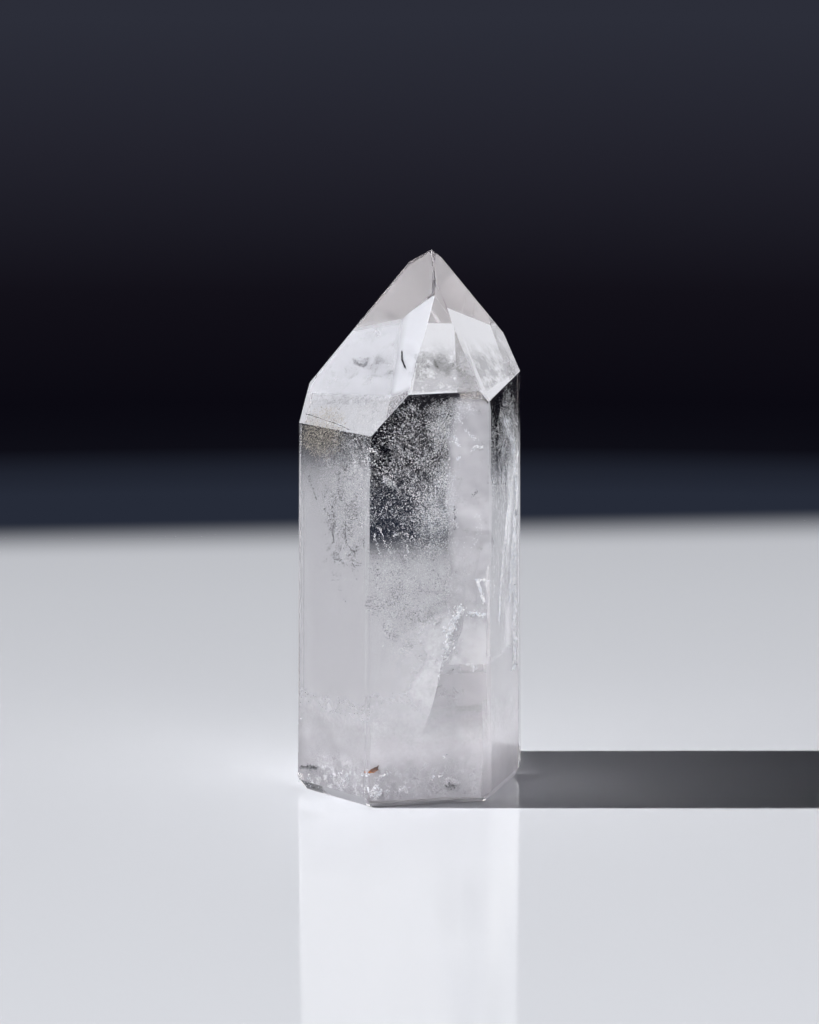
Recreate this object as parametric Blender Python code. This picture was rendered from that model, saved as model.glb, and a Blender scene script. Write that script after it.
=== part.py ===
"""Clear quartz tower: one piece of rock crystal, ground and polished into a six-sided point that
stands on a flat base. It is made here as a lapidary makes it: a rough block loses one flat
facet after another, then the edges are eased and the base is bevelled.

Run with: blender --background --python part.py
Metres, +Z up. Compass angles start at the front (-Y) and grow towards +X."""

import math

import bmesh
import bpy
from mathutils import Matrix, Vector

MM = 0.001

# The rough block, larger than the finished stone on every side.
BLOCK_RADIUS = 30 * MM
BLOCK_HEIGHT = 95 * MM

# The six sides: compass angle, lean towards the middle line in degrees, and the distance from
# the middle line at the table. A hand-ground stone is a little off a true hexagon.
SIDES = {
    "front": (11.0, -0.4, 13.70 * MM),
    "right": (71.5, 0.5, 14.95 * MM),
    "back_right": (127.0, 0.25, 15.10 * MM),
    "back": (190.0, -0.4, 16.25 * MM),
    "back_left": (252.0, 0.45, 14.55 * MM),
    "left": (314.7, 0.65, 15.50 * MM),
}

# Points of the stone that its upper facets pass through. Three of them meet at the tip.
TIP = Vector((3.00, 2.65, 80.0)) * MM
RIDGE_FOOT = Vector((3.75, -2.80, 75.5)) * MM
LEFT_SHOULDER = Vector((-0.25, 3.80, 78.1)) * MM
RIGHT_SHOULDER = Vector((4.45, 3.95, 78.75)) * MM

# The six facets of the point: compass angle, slope from level in degrees, a point they hold.
POINT_FACETS = {
    "left": (316.0, 52.9, TIP),
    "right": (65.5, 56.7, TIP),
    "back": (188.0, 49.9, TIP),
    "front": (10.0, 54.1, RIDGE_FOOT),
    "back_left": (253.0, 53.8, LEFT_SHOULDER),
    "back_right": (130.0, 53.1, RIGHT_SHOULDER),
}

# The bevel round the base: its slope from upright, and how far each side steps in at the table.
BASE_BEVEL_SLOPE = 30.0
BASE_STEP_IN = {
    "front": 0.35 * MM,
    "right": 0.90 * MM,
    "back_right": 1.30 * MM,
    "back": 0.80 * MM,
    "back_left": 1.20 * MM,
    "left": 0.95 * MM,
}

# The polisher's easing of every edge.
EASE_WIDTH = 0.16 * MM
EASE_STEPS = 2

# Small shell-shaped nicks on the edges: centre measured from the finished stone's origin, and
# the radius of the ball that scoops each one out.
NICKS = {
    "base corner": (Vector((-15.70, -7.30, 0.85)) * MM, 0.55 * MM),
    "base edge": (Vector((-12.05, -9.90, 0.00)) * MM, 0.45 * MM),
    "left edge": (Vector((-16.85, -6.15, 10.20)) * MM, 0.30 * MM),
    "ridge": (Vector((3.85, -4.05, 75.95)) * MM, 0.42 * MM),
    "right edge foot": (Vector((11.95, -13.00, 4.60)) * MM, 0.35 * MM),
}

NICK_TURN = math.radians(40)  # so that no ridge of a scoop lies square to the stone

QUARTZ_COLOUR = (0.90, 0.91, 0.93, 1.0)
QUARTZ_ROUGHNESS = 0.03
QUARTZ_IOR = 1.544


def clear_scene():
    for thing in list(bpy.data.objects):
        bpy.data.objects.remove(thing, do_unlink=True)


def new_collection(name):
    collection = bpy.data.collections.new(name)
    bpy.context.scene.collection.children.link(collection)
    return collection


def facing(compass, slope):
    """The outward direction of a facet: slope is 90 on an upright side and 0 on a level top."""
    round_angle = math.radians(compass)
    lift = math.radians(90 - slope)
    return Vector((
        math.sin(round_angle) * math.cos(lift),
        -math.cos(round_angle) * math.cos(lift),
        math.sin(lift),
    ))


def grind(stone, point, outward):
    """Takes away all that lies beyond a plane, and closes the cut with one flat facet."""
    cut = bmesh.ops.bisect_plane(
        stone,
        geom=stone.verts[:] + stone.edges[:] + stone.faces[:],
        plane_co=point,
        plane_no=outward,
        clear_outer=True,
    )
    rim = [edge for edge in cut["geom_cut"] if isinstance(edge, bmesh.types.BMEdge)]
    bmesh.ops.contextual_create(stone, geom=rim)


def rough_block():
    """A plain six-sided block that stands on the table, ready to be ground."""
    stone = bmesh.new()
    bmesh.ops.create_cone(
        stone,
        cap_ends=True,
        segments=6,
        radius1=BLOCK_RADIUS,
        radius2=BLOCK_RADIUS,
        depth=BLOCK_HEIGHT,
        matrix=Matrix.Translation((0, 0, BLOCK_HEIGHT / 2)),
    )
    return stone


def grind_sides(stone):
    for compass, lean, distance in SIDES.values():
        foot = facing(compass, 90) * distance
        grind(stone, foot, facing(compass, 90 - lean))


def grind_point(stone):
    for compass, slope, held in POINT_FACETS.values():
        grind(stone, held, facing(compass, slope))


def bevel_base(stone):
    for name, step_in in BASE_STEP_IN.items():
        compass, _, distance = SIDES[name]
        foot = facing(compass, 90) * (distance - step_in)
        grind(stone, foot, facing(compass, 90 + BASE_BEVEL_SLOPE))


def ease_edges(stone):
    bmesh.ops.bevel(
        stone,
        geom=stone.edges[:],
        offset=EASE_WIDTH,
        offset_type="WIDTH",
        segments=EASE_STEPS,
        profile=0.5,
        affect="EDGES",
        clamp_overlap=True,
    )


def centre_on_origin(stone):
    """Puts the middle of the stone's box over the origin, with the base on the table."""
    low = Vector([min(vert.co[axis] for vert in stone.verts) for axis in range(3)])
    high = Vector([max(vert.co[axis] for vert in stone.verts) for axis in range(3)])
    middle = (low + high) / 2
    bmesh.ops.translate(stone, verts=stone.verts[:], vec=(-middle.x, -middle.y, -low.z))


def quartz_material():
    material = bpy.data.materials.new("polished rock crystal")
    material.use_nodes = True
    surface = material.node_tree.nodes["Principled BSDF"]
    surface.inputs["Base Color"].default_value = QUARTZ_COLOUR
    surface.inputs["Roughness"].default_value = QUARTZ_ROUGHNESS
    surface.inputs["Metallic"].default_value = 0.0
    surface.inputs["Transmission Weight"].default_value = 1.0
    surface.inputs["IOR"].default_value = QUARTZ_IOR
    return material


def nick_cutter(place, centre, radius, cutters):
    """A faceted ball: it leaves the hollow, ridged scar that quartz shows where it chips."""
    ball = bmesh.new()
    turn = Matrix.Rotation(NICK_TURN, 4, Vector((1, 2, 3)).normalized())
    bmesh.ops.create_icosphere(
        ball, subdivisions=2, radius=radius, matrix=Matrix.Translation(centre) @ turn
    )
    mesh = bpy.data.meshes.new(f"nick cutter, {place}")
    ball.to_mesh(mesh)
    ball.free()
    cutter = bpy.data.objects.new(f"nick cutter, {place}", mesh)
    cutter.hide_render = True
    cutters.objects.link(cutter)
    return cutter


def quartz_tower(collection, cutters):
    stone = rough_block()
    grind_sides(stone)
    grind_point(stone)
    bevel_base(stone)
    ease_edges(stone)
    centre_on_origin(stone)
    bmesh.ops.recalc_face_normals(stone, faces=stone.faces[:])
    mesh = bpy.data.meshes.new("quartz_tower")
    stone.to_mesh(mesh)
    stone.free()
    tower = bpy.data.objects.new("quartz_tower", mesh)
    tower.data.materials.append(quartz_material())
    collection.objects.link(tower)
    for place, (centre, radius) in NICKS.items():
        nick = tower.modifiers.new(f"nick, {place}", "BOOLEAN")
        nick.operation = "DIFFERENCE"
        nick.solver = "EXACT"
        nick.object = nick_cutter(place, centre, radius, cutters)
    return tower


clear_scene()
tower_parts = new_collection("clear quartz tower")
nick_cutters = new_collection("cutters")
nick_cutters.hide_render = True
quartz_tower(tower_parts, nick_cutters)
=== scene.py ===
"""Clear quartz tower, dressed: one polished point of rock crystal on a pale glossy table, with
the veils, specks, cracks and the iron fleck that grew inside it. Metres, +Z up, front at -Y."""

import math
import random

import bmesh
import bpy
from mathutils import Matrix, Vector, noise


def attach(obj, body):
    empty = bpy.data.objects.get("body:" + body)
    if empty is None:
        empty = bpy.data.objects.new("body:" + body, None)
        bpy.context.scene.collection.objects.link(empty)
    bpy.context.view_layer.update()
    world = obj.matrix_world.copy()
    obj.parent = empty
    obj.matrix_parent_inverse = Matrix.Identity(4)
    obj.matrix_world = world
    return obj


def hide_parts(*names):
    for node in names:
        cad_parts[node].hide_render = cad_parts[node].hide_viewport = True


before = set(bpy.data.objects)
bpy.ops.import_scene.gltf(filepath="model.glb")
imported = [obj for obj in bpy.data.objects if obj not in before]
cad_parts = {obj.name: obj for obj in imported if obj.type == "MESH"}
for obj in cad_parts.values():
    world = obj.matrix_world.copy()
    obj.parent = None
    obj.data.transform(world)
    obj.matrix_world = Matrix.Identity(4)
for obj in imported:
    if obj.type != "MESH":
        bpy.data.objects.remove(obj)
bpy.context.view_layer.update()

# The camera
# A 100 mm lens a little over 40 cm in front of the stone, held 11 cm above the table and tipped
# down by ten degrees, which is where the photograph was taken from.

MM = 0.001
CAMERA_LENS = 100  # millimetres, before a picture 36 mm wide
CAMERA_PLACE = (-0.00011, -0.41788, 0.1136)
CAMERA_TIP = 9.86  # degrees down from level

camera_data = bpy.data.cameras.new("camera")
camera_data.lens = CAMERA_LENS
camera_data.sensor_width = 36
camera = bpy.data.objects.new("camera", camera_data)
camera.location = CAMERA_PLACE
camera.rotation_euler = (math.radians(90 - CAMERA_TIP), 0, 0)
bpy.context.scene.collection.objects.link(camera)
bpy.context.scene.camera = camera


# The table
# A white lacquered board with a soft mirror of the stone in it. It stops a hand's breadth behind
# the stone, where it fades into the dark of the studio as it does out of focus in a real picture.

TABLE_HALF_WIDTH = 1.2
TABLE_FRONT = -0.20
TABLE_BACK = 0.36
TABLE_FADE = (0.184, 0.232)  # where the far edge goes out of focus, straight behind the stone
TABLE_SLANT = 0.108  # the far edge runs a little away from the camera, to the right
TABLE_CORNER = (0.11, 0.17, 0.028)  # outside the picture the edge steps back by this much
TABLE_DROP = 0.02 * MM  # the ground base touches the board only here and there


def linear(hex_colour):
    """An sRGB hex colour as the linear numbers that the nodes take."""
    channels = []
    for start in (1, 3, 5):
        value = int(hex_colour[start : start + 2], 16) / 255
        if value <= 0.04045:
            channels.append(value / 12.92)
        else:
            channels.append(((value + 0.055) / 1.055) ** 2.4)
    return (*channels, 1.0)


def add_node(tree, kind, settings=None, **inputs):
    """Adds a node. settings are its properties. inputs are values, or sockets to link from, and
    each goes to the socket of that name, or i0, i1 and so on to the socket of that number."""
    node = tree.nodes.new(kind)
    for name, value in (settings or {}).items():
        setattr(node, name, value)
    for name, value in inputs.items():
        key = int(name[1:]) if name[1:].isdigit() else name.replace("_", " ")
        socket = node.inputs[key]
        if isinstance(value, bpy.types.NodeSocket):
            tree.links.new(value, socket)
        else:
            socket.default_value = value
    return node


def new_material(name):
    """An empty material: its tree and its output node come back with it."""
    material = bpy.data.materials.new(name)
    material.use_nodes = True
    material.node_tree.nodes.clear()
    output = material.node_tree.nodes.new("ShaderNodeOutputMaterial")
    return material, material.node_tree, output


def add_piece(name, mesh, *materials):
    piece = bpy.data.objects.new(name, mesh)
    for material in materials:
        piece.data.materials.append(material)
    bpy.context.scene.collection.objects.link(piece)
    return piece


def table_lacquer():
    """White gloss lacquer: pale, faintly blue, with a sharp but weak mirror on top."""
    material, tree, output = new_material("white gloss lacquer")
    place = add_node(tree, "ShaderNodeTexCoord")
    split = add_node(tree, "ShaderNodeSeparateXYZ", Vector=place.outputs["Object"])
    slant = add_node(
        tree,
        "ShaderNodeMath",
        {"operation": "MULTIPLY"},
        i0=split.outputs["X"],
        i1=TABLE_SLANT,
    )
    corner = add_node(
        tree,
        "ShaderNodeMapRange",
        {"interpolation_type": "SMOOTHSTEP"},
        i0=split.outputs["X"],
        i1=TABLE_CORNER[0],
        i2=TABLE_CORNER[1],
        i3=0.0,
        i4=TABLE_CORNER[2],
    )
    edge = add_node(
        tree, "ShaderNodeMath", {"operation": "ADD"}, i0=slant.outputs[0], i1=corner.outputs[0]
    )
    behind = add_node(
        tree,
        "ShaderNodeMath",
        {"operation": "SUBTRACT"},
        i0=split.outputs["Y"],
        i1=edge.outputs[0],
    )
    fade = add_node(
        tree,
        "ShaderNodeMapRange",
        {"interpolation_type": "SMOOTHSTEP"},
        i0=behind.outputs[0],
        i1=TABLE_FADE[0],
        i2=TABLE_FADE[1],
        i3=1.0,
        i4=0.0,
    )
    lacquer = add_node(
        tree,
        "ShaderNodeBsdfPrincipled",
        Base_Color=linear("#e4e6ec"),
        Roughness=0.07,
        IOR=1.5,
        Alpha=fade.outputs[0],
    )
    tree.links.new(lacquer.outputs[0], output.inputs["Surface"])
    return material


board = bmesh.new()
for x, y in ((-1, 0), (1, 0), (1, 1), (-1, 1)):
    board.verts.new((x * TABLE_HALF_WIDTH, TABLE_BACK if y else TABLE_FRONT, -TABLE_DROP))
board.faces.new(board.verts[:])
board_mesh = bpy.data.meshes.new("table")
board.to_mesh(board_mesh)
board.free()
table = add_piece("table", board_mesh, table_lacquer())


# The studio
# A distant key lamp on the left throws the crisp shadow to the right. The dark backdrop gives the
# clear stone its black window, and its dim blue glow is all that fills the shadow.

BACKDROP = (  # the sine of the angle over the horizon, and the colour seen there
    (-1.00, "#1c1e26"),
    (-0.185, "#262b38"),
    (-0.160, "#262b38"),
    (-0.150, "#0e0e16"),
    (-0.135, "#0a0911"),
    (-0.095, "#121018"),
    (-0.045, "#23232d"),
    (0.000, "#2c2e39"),
    (0.300, "#1c1d23"),
    (1.000, "#1c1d23"),
)
KEY_HEIGHT = 40  # degrees over the table
KEY_STRENGTH = 5.05
KEY_WIDTH = 0.8  # degrees across, so that the shadow's edge stays crisp


def studio_world():
    world = bpy.data.worlds.new("studio")
    world.use_nodes = True
    tree = world.node_tree
    tree.nodes.clear()
    direction = add_node(tree, "ShaderNodeTexCoord")
    split = add_node(tree, "ShaderNodeSeparateXYZ", Vector=direction.outputs["Generated"])
    height = add_node(tree, "ShaderNodeMapRange", i0=split.outputs["Z"], i1=-1.0, i2=1.0)
    ramp = add_node(tree, "ShaderNodeValToRGB", Fac=height.outputs[0])
    stops = ramp.color_ramp.elements
    for place, _ in BACKDROP[1:-1]:
        stops.new((place + 1) / 2)
    for stop, (place, colour) in zip(stops, BACKDROP):
        stop.position = (place + 1) / 2
        stop.color = linear(colour)
    glow = add_node(tree, "ShaderNodeBackground", Color=ramp.outputs["Color"])
    output = add_node(tree, "ShaderNodeOutputWorld")
    tree.links.new(glow.outputs[0], output.inputs["Surface"])
    return world


def hang_light(name, lamp, place, aim):
    holder = bpy.data.objects.new(name, lamp)
    holder.location = place
    turn = (Vector(aim) - Vector(place)).to_track_quat("-Z", "Y")
    holder.rotation_euler = turn.to_euler()
    bpy.context.scene.collection.objects.link(holder)
    return holder


bpy.context.scene.world = studio_world()
key_lamp = bpy.data.lights.new("key", "SUN")
key_lamp.energy = KEY_STRENGTH
key_lamp.angle = math.radians(KEY_WIDTH)
key_lamp.cycles.use_multiple_importance_sampling = False
key_rise = math.radians(KEY_HEIGHT)
hang_light("key", key_lamp, (-math.cos(key_rise), 0, math.sin(key_rise)), (0, 0, 0))


# The stone
# One piece of rock crystal, ground and polished on every facet and left fine-ground on the base.
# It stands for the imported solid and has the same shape, facet for facet.

STONE_IOR = 1.544
STONE_SURFACE = "#f8f7f8"
STONE_TINT = "#f7f6f6"
STONE_DENSITY = 35.0  # absorption for each metre of the way through
BASE_DOWN = -0.70  # faces that look down more steeply than this are ground, not polished
BASE_PAINTED_LIGHT = (-11.0 * MM, -3.0 * MM)  # between these the base turns from painted light on the left to plain
BASE_MOTTLE = 1.2 * MM  # the grit itself is far finer, and would not show
SAME_POINT = 0.0005 * MM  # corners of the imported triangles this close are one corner
SAME_FACET = 0.05  # degrees: triangles turned less than this are one facet


def polished_quartz():
    """Polished rock crystal: clear as glass, a little grey through its thickness."""
    material, tree, output = new_material("polished rock crystal")
    body = add_node(
        tree,
        "ShaderNodeBsdfPrincipled",
        Base_Color=linear(STONE_SURFACE),
        Roughness=0.0,
        IOR=STONE_IOR,
        Transmission_Weight=1.0,
    )
    depth = add_node(
        tree, "ShaderNodeVolumeAbsorption", Color=linear(STONE_TINT), Density=STONE_DENSITY
    )
    tree.links.new(body.outputs[0], output.inputs["Surface"])
    tree.links.new(depth.outputs[0], output.inputs["Volume"])
    return material


def ground_quartz():
    """The base, lapped with fine grit and not polished: an even, matt grey, painted a little
    lighter on the left as painted light from the key lamp on that side."""
    material, tree, output = new_material("fine-ground rock crystal")
    place = add_node(tree, "ShaderNodeTexCoord")
    split = add_node(tree, "ShaderNodeSeparateXYZ", Vector=place.outputs["Object"])
    # Painted light: the base is lighter on the left, where the key lamp shines in, and darker to
    # the right.
    painted_left_light = add_node(
        tree,
        "ShaderNodeMapRange",
        {"interpolation_type": "SMOOTHSTEP"},
        i0=split.outputs["X"],
        i1=BASE_PAINTED_LIGHT[0],
        i2=BASE_PAINTED_LIGHT[1],
        i3=0.0,
        i4=0.8,
    )
    grit = add_node(
        tree,
        "ShaderNodeTexNoise",
        Vector=place.outputs["Object"],
        Scale=1 / BASE_MOTTLE,
        Detail=5.0,
    )
    mottle = add_node(
        tree, "ShaderNodeMath", {"operation": "MULTIPLY"}, i0=grit.outputs[0], i1=0.3
    )
    tone = add_node(
        tree,
        "ShaderNodeMath",
        {"operation": "ADD"},
        i0=painted_left_light.outputs[0],
        i1=mottle.outputs[0],
    )
    colour = add_node(tree, "ShaderNodeValToRGB", Fac=tone.outputs[0])
    colour.color_ramp.elements[0].color = linear("#d6d3d6")
    colour.color_ramp.elements[1].color = linear("#9f9da1")
    body = add_node(
        tree,
        "ShaderNodeBsdfPrincipled",
        Base_Color=colour.outputs[0],
        Roughness=0.8,
    )
    tree.links.new(body.outputs[0], output.inputs["Surface"])
    return material


def merged_copy(node, name):
    """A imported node's mesh, with its loose triangles joined into whole flat facets."""
    shape = bmesh.new()
    shape.from_mesh(node.data)
    bmesh.ops.remove_doubles(shape, verts=shape.verts[:], dist=SAME_POINT)
    bmesh.ops.dissolve_limit(
        shape,
        angle_limit=math.radians(SAME_FACET),
        verts=shape.verts[:],
        edges=shape.edges[:],
    )
    mesh = bpy.data.meshes.new(name)
    shape.to_mesh(mesh)
    shape.free()
    return mesh


stone_mesh = merged_copy(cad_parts["quartz_tower"], "polished_stone")
stone = add_piece("polished_stone", stone_mesh, polished_quartz(), ground_quartz())
for facet in stone.data.polygons:
    facet.use_smooth = False
    if facet.normal.z < BASE_DOWN:
        facet.material_index = 1
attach(stone, "root")
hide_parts("quartz_tower")

# Panels that light the stone alone, so that they reach what lies inside it and leave the table's
# shadow dark. The facets mirror all but two of them: those two would draw a bright line down the
# eased ridge of the point.
PANELS = (  # name, place, aim, width, height, watts, and whether the facets mirror it
    ("panel above", (0.4, -0.1, 0.8), (0.4, 0, 0), 0.8, 1.4, 12, True),
    ("panel above left", (-0.4, -0.1, 0.8), (-0.4, 0, 0), 0.8, 1.4, 12, False),
    ("panel left", (-0.55, -0.75, 0.55), (0, 0, 0.04), 0.7, 0.7, 13, False),
    ("panel right", (0.9, -0.35, 0.35), (0, 0, 0.03), 0.6, 0.5, 16, True),
    ("panel behind", (0, 0.7, 0.24), (0, 0, 0.05), 2.4, 0.3, 2.4, True),
)
only_the_stone = bpy.data.collections.new("lit by the panels")
only_the_stone.objects.link(stone)
for name, place, aim, width, height, watts, mirrored in PANELS:
    lamp = bpy.data.lights.new(name, "AREA")
    lamp.shape = "RECTANGLE"
    lamp.size = width
    lamp.size_y = height
    lamp.energy = watts
    panel = hang_light(name, lamp, place, aim)
    panel.light_linking.receiver_collection = only_the_stone
    panel.visible_glossy = mirrored


# The snow of fine specks
# Thousands of tiny cavities, trapped while the crystal grew, fill its upper half in drifts. Each
# is a grain of a tenth of a millimetre or so that scatters the light white.

SHEET_REACH = 0.08  # how far from its middle value the noise still makes a folded sheet
RIM_LOSS = 0.45  # how much barer a cloud is at its rim than in its middle
CHANCE = 0.06  # how much luck has to do with where a patch ends
MIDDLE_LINE = 2.0 * MM  # where the stone's upright middle line stands, to the right of zero
GRAIN_LENGTH = 1.6  # of a grain that is one wide each way from its middle


def speck_tree():
    """Scatters specks through a tilted egg-shaped cloud, in patches, and only inside the stone."""
    tree = bpy.data.node_groups.new("specks grown in quartz", "GeometryNodeTree")
    tree.is_modifier = True
    face = tree.interface
    face.new_socket("Geometry", in_out="OUTPUT", socket_type="NodeSocketGeometry")
    face.new_socket("Geometry", in_out="INPUT", socket_type="NodeSocketGeometry")
    for name, kind in (
        ("Stone", "NodeSocketObject"),
        ("Material", "NodeSocketMaterial"),
        ("Seed", "NodeSocketInt"),
        ("Count", "NodeSocketInt"),
        ("Centre", "NodeSocketVector"),
        ("Reach", "NodeSocketVector"),
        ("Turn", "NodeSocketVector"),
        ("Patch", "NodeSocketFloat"),
        ("Bareness", "NodeSocketFloat"),
        ("Folded", "NodeSocketFloat"),
        ("Finest", "NodeSocketVector"),
        ("Coarsest", "NodeSocketVector"),
        ("Lie", "NodeSocketVector"),
        ("Stray", "NodeSocketVector"),
        ("Cover", "NodeSocketFloat"),
    ):
        face.new_socket(name, in_out="INPUT", socket_type=kind)
    given = add_node(tree, "NodeGroupInput").outputs

    # Four draws for each speck: its place, its luck, its tilt and its size.
    seeds = [
        add_node(tree, "ShaderNodeMath", {"operation": "ADD"}, i0=given["Seed"], i1=step)
        for step in (0.0, 1.0, 2.0, 3.0)
    ]
    inside, luck, tilt, size = [
        add_node(tree, "FunctionNodeRandomValue", {"data_type": kind}, Seed=seed.outputs[0])
        for kind, seed in zip(("FLOAT_VECTOR", "FLOAT", "FLOAT_VECTOR", "FLOAT_VECTOR"), seeds)
    ]
    inside.inputs[0].default_value = (-1, -1, -1)
    inside.inputs[1].default_value = (1, 1, 1)
    luck.inputs[2].default_value = -CHANCE
    luck.inputs[3].default_value = CHANCE
    astray = add_node(
        tree, "ShaderNodeVectorMath", {"operation": "MULTIPLY"}, i0=given["Stray"], i1=(-1, -1, -1)
    )
    tree.links.new(astray.outputs[0], tilt.inputs[0])
    tree.links.new(given["Stray"], tilt.inputs[1])
    tree.links.new(given["Finest"], size.inputs[0])
    tree.links.new(given["Coarsest"], size.inputs[1])

    spread = add_node(
        tree,
        "ShaderNodeVectorMath",
        {"operation": "MULTIPLY"},
        i0=inside.outputs[0],
        i1=given["Reach"],
    )
    turned = add_node(
        tree,
        "FunctionNodeRotateVector",
        Vector=spread.outputs[0],
        Rotation=given["Turn"],
    )
    place = add_node(
        tree,
        "ShaderNodeVectorMath",
        {"operation": "ADD"},
        i0=turned.outputs[0],
        i1=given["Centre"],
    )
    points = add_node(tree, "GeometryNodePoints", Count=given["Count"], Position=place.outputs[0])

    here = add_node(tree, "GeometryNodeInputPosition").outputs[0]
    scale = add_node(tree, "ShaderNodeMath", {"operation": "DIVIDE"}, i0=1.0, i1=given["Patch"])
    drift = add_node(
        tree, "ShaderNodeTexNoise", Vector=here, Scale=scale.outputs[0], Detail=8.0, Roughness=0.65
    )
    # Near its middle value the noise runs in thin folded sheets, which is how healed cracks lie.
    off = add_node(
        tree, "ShaderNodeMath", {"operation": "SUBTRACT"}, i0=drift.outputs[0], i1=0.5
    )
    depth = add_node(tree, "ShaderNodeMath", {"operation": "ABSOLUTE"}, i0=off.outputs[0])
    sheet = add_node(
        tree,
        "ShaderNodeMapRange",
        i0=depth.outputs[0],
        i1=0.0,
        i2=SHEET_REACH,
        i3=0.66,
        i4=0.1,
    )
    shape = add_node(
        tree,
        "ShaderNodeMix",
        Factor=given["Folded"],
        A=drift.outputs[0],
        B=sheet.outputs[0],
    )
    out = add_node(
        tree, "ShaderNodeVectorMath", {"operation": "SUBTRACT"}, i0=here, i1=given["Centre"]
    )
    back = add_node(tree, "FunctionNodeInvertRotation", Rotation=given["Turn"])
    level = add_node(
        tree, "FunctionNodeRotateVector", Vector=out.outputs[0], Rotation=back.outputs[0]
    )
    share = add_node(
        tree,
        "ShaderNodeVectorMath",
        {"operation": "DIVIDE"},
        i0=level.outputs[0],
        i1=given["Reach"],
    )
    far = add_node(tree, "ShaderNodeVectorMath", {"operation": "LENGTH"}, i0=share.outputs[0])
    fall = add_node(
        tree, "ShaderNodeMath", {"operation": "POWER"}, i0=far.outputs["Value"], i1=3.0
    )
    weak = add_node(
        tree, "ShaderNodeMath", {"operation": "MULTIPLY"}, i0=fall.outputs[0], i1=RIM_LOSS
    )
    thick = add_node(
        tree, "ShaderNodeMath", {"operation": "SUBTRACT"}, i0=shape.outputs[0], i1=weak.outputs[0]
    )
    wanted = add_node(
        tree, "ShaderNodeMath", {"operation": "ADD"}, i0=thick.outputs[0], i1=luck.outputs[1]
    )
    bare = add_node(
        tree,
        "ShaderNodeMath",
        {"operation": "LESS_THAN"},
        i0=wanted.outputs[0],
        i1=given["Bareness"],
    )
    patches = add_node(
        tree, "GeometryNodeDeleteGeometry", Geometry=points.outputs[0], Selection=bare.outputs[0]
    )

    # A ray from the stone's middle line to the speck and a little further must not meet a facet.
    split = add_node(tree, "ShaderNodeSeparateXYZ", Vector=here)
    axis = add_node(tree, "ShaderNodeCombineXYZ", X=MIDDLE_LINE, Y=0.0, Z=split.outputs["Z"])
    way = add_node(
        tree, "ShaderNodeVectorMath", {"operation": "SUBTRACT"}, i0=here, i1=axis.outputs[0]
    )
    length = add_node(tree, "ShaderNodeVectorMath", {"operation": "LENGTH"}, i0=way.outputs[0])
    reach = add_node(
        tree, "ShaderNodeMath", {"operation": "ADD"}, i0=length.outputs["Value"], i1=given["Cover"]
    )
    body = add_node(tree, "GeometryNodeObjectInfo", Object=given["Stone"])
    ray = add_node(
        tree,
        "GeometryNodeRaycast",
        Target_Geometry=body.outputs["Geometry"],
        Source_Position=axis.outputs[0],
        Ray_Direction=way.outputs[0],
        Ray_Length=reach.outputs[0],
    )
    kept = add_node(
        tree,
        "GeometryNodeDeleteGeometry",
        Geometry=patches.outputs[0],
        Selection=ray.outputs["Is Hit"],
    )

    grain = add_node(
        tree,
        "GeometryNodeMeshCone",
        {"fill_type": "NGON"},
        Vertices=3,
        Radius_Top=0.0,
        Radius_Bottom=1.0,
        Depth=GRAIN_LENGTH,
    )
    middle = add_node(
        tree, "GeometryNodeTransform", Geometry=grain.outputs[0], Translation=(0, 0, -0.5)
    )
    lie = add_node(
        tree, "ShaderNodeVectorMath", {"operation": "ADD"}, i0=given["Lie"], i1=tilt.outputs[0]
    )
    grains = add_node(
        tree,
        "GeometryNodeInstanceOnPoints",
        Points=kept.outputs[0],
        Instance=middle.outputs[0],
        Rotation=lie.outputs[0],
        Scale=size.outputs[0],
    )
    real = add_node(tree, "GeometryNodeRealizeInstances", Geometry=grains.outputs[0])
    dressed = add_node(
        tree, "GeometryNodeSetMaterial", Geometry=real.outputs[0], Material=given["Material"]
    )
    add_node(tree, "NodeGroupOutput", Geometry=dressed.outputs[0])
    return tree


SPECKS = speck_tree()


def grow(
    material, seed, count, centre, reach, finest, coarsest, bareness, turn=(0, 0, 0), patch=2.5,
    folded=0.0, lie=(0, 0, 0), stray=(180, 180, 180), cover=0.3,
):
    """A mesh of specks, from count tries: lengths in millimetres, angles in degrees. finest and
    coarsest are one number for round grains, and three for needles. cover is how deep a speck lies
    under the nearest facet at least. Barer clouds and larger patches hold fewer specks."""
    finest, coarsest = [
        size if isinstance(size, tuple) else (size, size, size) for size in (finest, coarsest)
    ]
    cloud = bpy.data.objects.new("cloud", bpy.data.meshes.new("cloud"))
    bpy.context.scene.collection.objects.link(cloud)
    growth = cloud.modifiers.new("growth", "NODES")
    growth.node_group = SPECKS
    sizes = {
        "Stone": stone,
        "Material": material,
        "Seed": seed,
        "Count": count,
        "Centre": [value * MM for value in centre],
        "Reach": [value * MM for value in reach],
        "Turn": [math.radians(value) for value in turn],
        "Patch": patch * MM,
        "Bareness": bareness,
        "Folded": folded,
        "Finest": [value * MM for value in finest],
        "Coarsest": [value * MM for value in coarsest],
        "Lie": [math.radians(value) for value in lie],
        "Stray": [math.radians(value) for value in stray],
        "Cover": cover * MM,
    }
    for item in SPECKS.interface.items_tree:
        if item.name in sizes:
            growth[item.identifier] = sizes[item.name]
    ready = cloud.evaluated_get(bpy.context.evaluated_depsgraph_get())
    mesh = bpy.data.meshes.new_from_object(ready)
    bpy.data.objects.remove(cloud)
    return mesh


def gather(name, meshes, material):
    """Joins grown meshes into one piece of the stone."""
    joined = bmesh.new()
    for mesh in meshes:
        joined.from_mesh(mesh)
    whole = bpy.data.meshes.new(name)
    joined.to_mesh(whole)
    joined.free()
    piece = add_piece(name, whole, material)
    for face in piece.data.polygons:
        face.material_index = 0
    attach(piece, "root")
    return piece


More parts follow.
